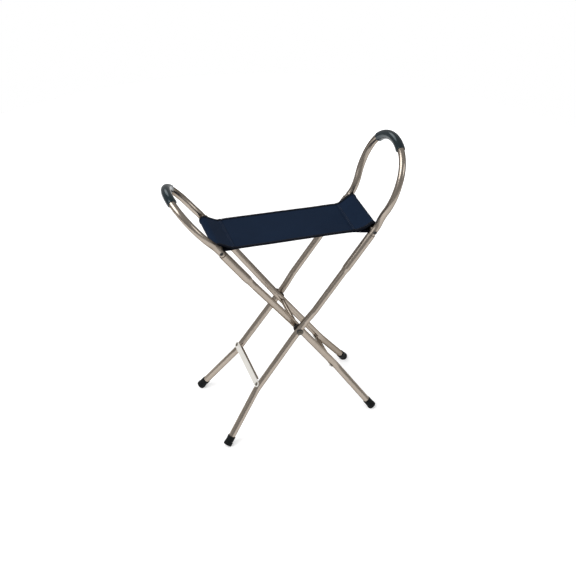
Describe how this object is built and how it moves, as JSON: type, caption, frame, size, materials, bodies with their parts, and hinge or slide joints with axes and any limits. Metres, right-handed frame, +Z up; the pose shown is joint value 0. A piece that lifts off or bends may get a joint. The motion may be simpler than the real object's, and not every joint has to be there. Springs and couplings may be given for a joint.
{
  "type": "walking stick seat",
  "caption": "folding walking stick seat: two crossed bent-tube frames with hoop handles, a navy fabric sling between them and rubber feet",
  "frame": {"origin": "on the floor, centred under the open seat's outline", "axes": "+X from the lower handle to the higher handle, +Y across the seat away from the viewer, +Z up"},
  "size_m": [0.5486, 0.24, 0.7244],
  "materials": {
    "tube": "satin",
    "grip": "gloss",
    "tip": "matte",
    "strap": "satin",
    "rivet": "satin",
    "steel": "polished",
    "black_steel": "satin",
    "nylon": "matte",
    "cloth": "woven"
  },
  "bodies": {
    "outer_frame": {"outer_hoop": "tube", "outer_leg_near": "tube", "outer_leg_far": "tube", "outer_grip": "grip", "outer_tip_near": "tip", "outer_tip_far": "tip", "outer_brace": "strap", "outer_brace_rivets": "rivet", "outer_seat_rod": "tube", "outer_rod_plugs": "nylon", "outer_rod_screws": "black_steel", "outer_hoop_rivets": "rivet", "pivot_bolt": "steel", "pivot_nut": "steel", "pivot_saddles": "nylon", "pivot_washers": "nylon", "seat_sling": "cloth"},
    "inner_frame": {"inner_hoop": "tube", "inner_leg_near": "tube", "inner_leg_far": "tube", "inner_grip": "grip", "inner_tip_near": "tip", "inner_tip_far": "tip", "inner_brace": "strap", "inner_brace_rivets": "rivet", "inner_seat_rod": "tube", "inner_rod_plugs": "nylon", "inner_rod_screws": "black_steel", "inner_hoop_rivets": "rivet", "pivot_bushes": "nylon", "pivot_spacer_tube": "tube"}
  },
  "joints": [
    {"name": "fold", "type": "hinge", "parent": "outer_frame", "child": "inner_frame", "pos_m": [0.01878, 0, 0.28], "axis": [0, 1, 0], "range_deg": [0, 61.5], "deforming": ["seat_sling"]}
  ]
}
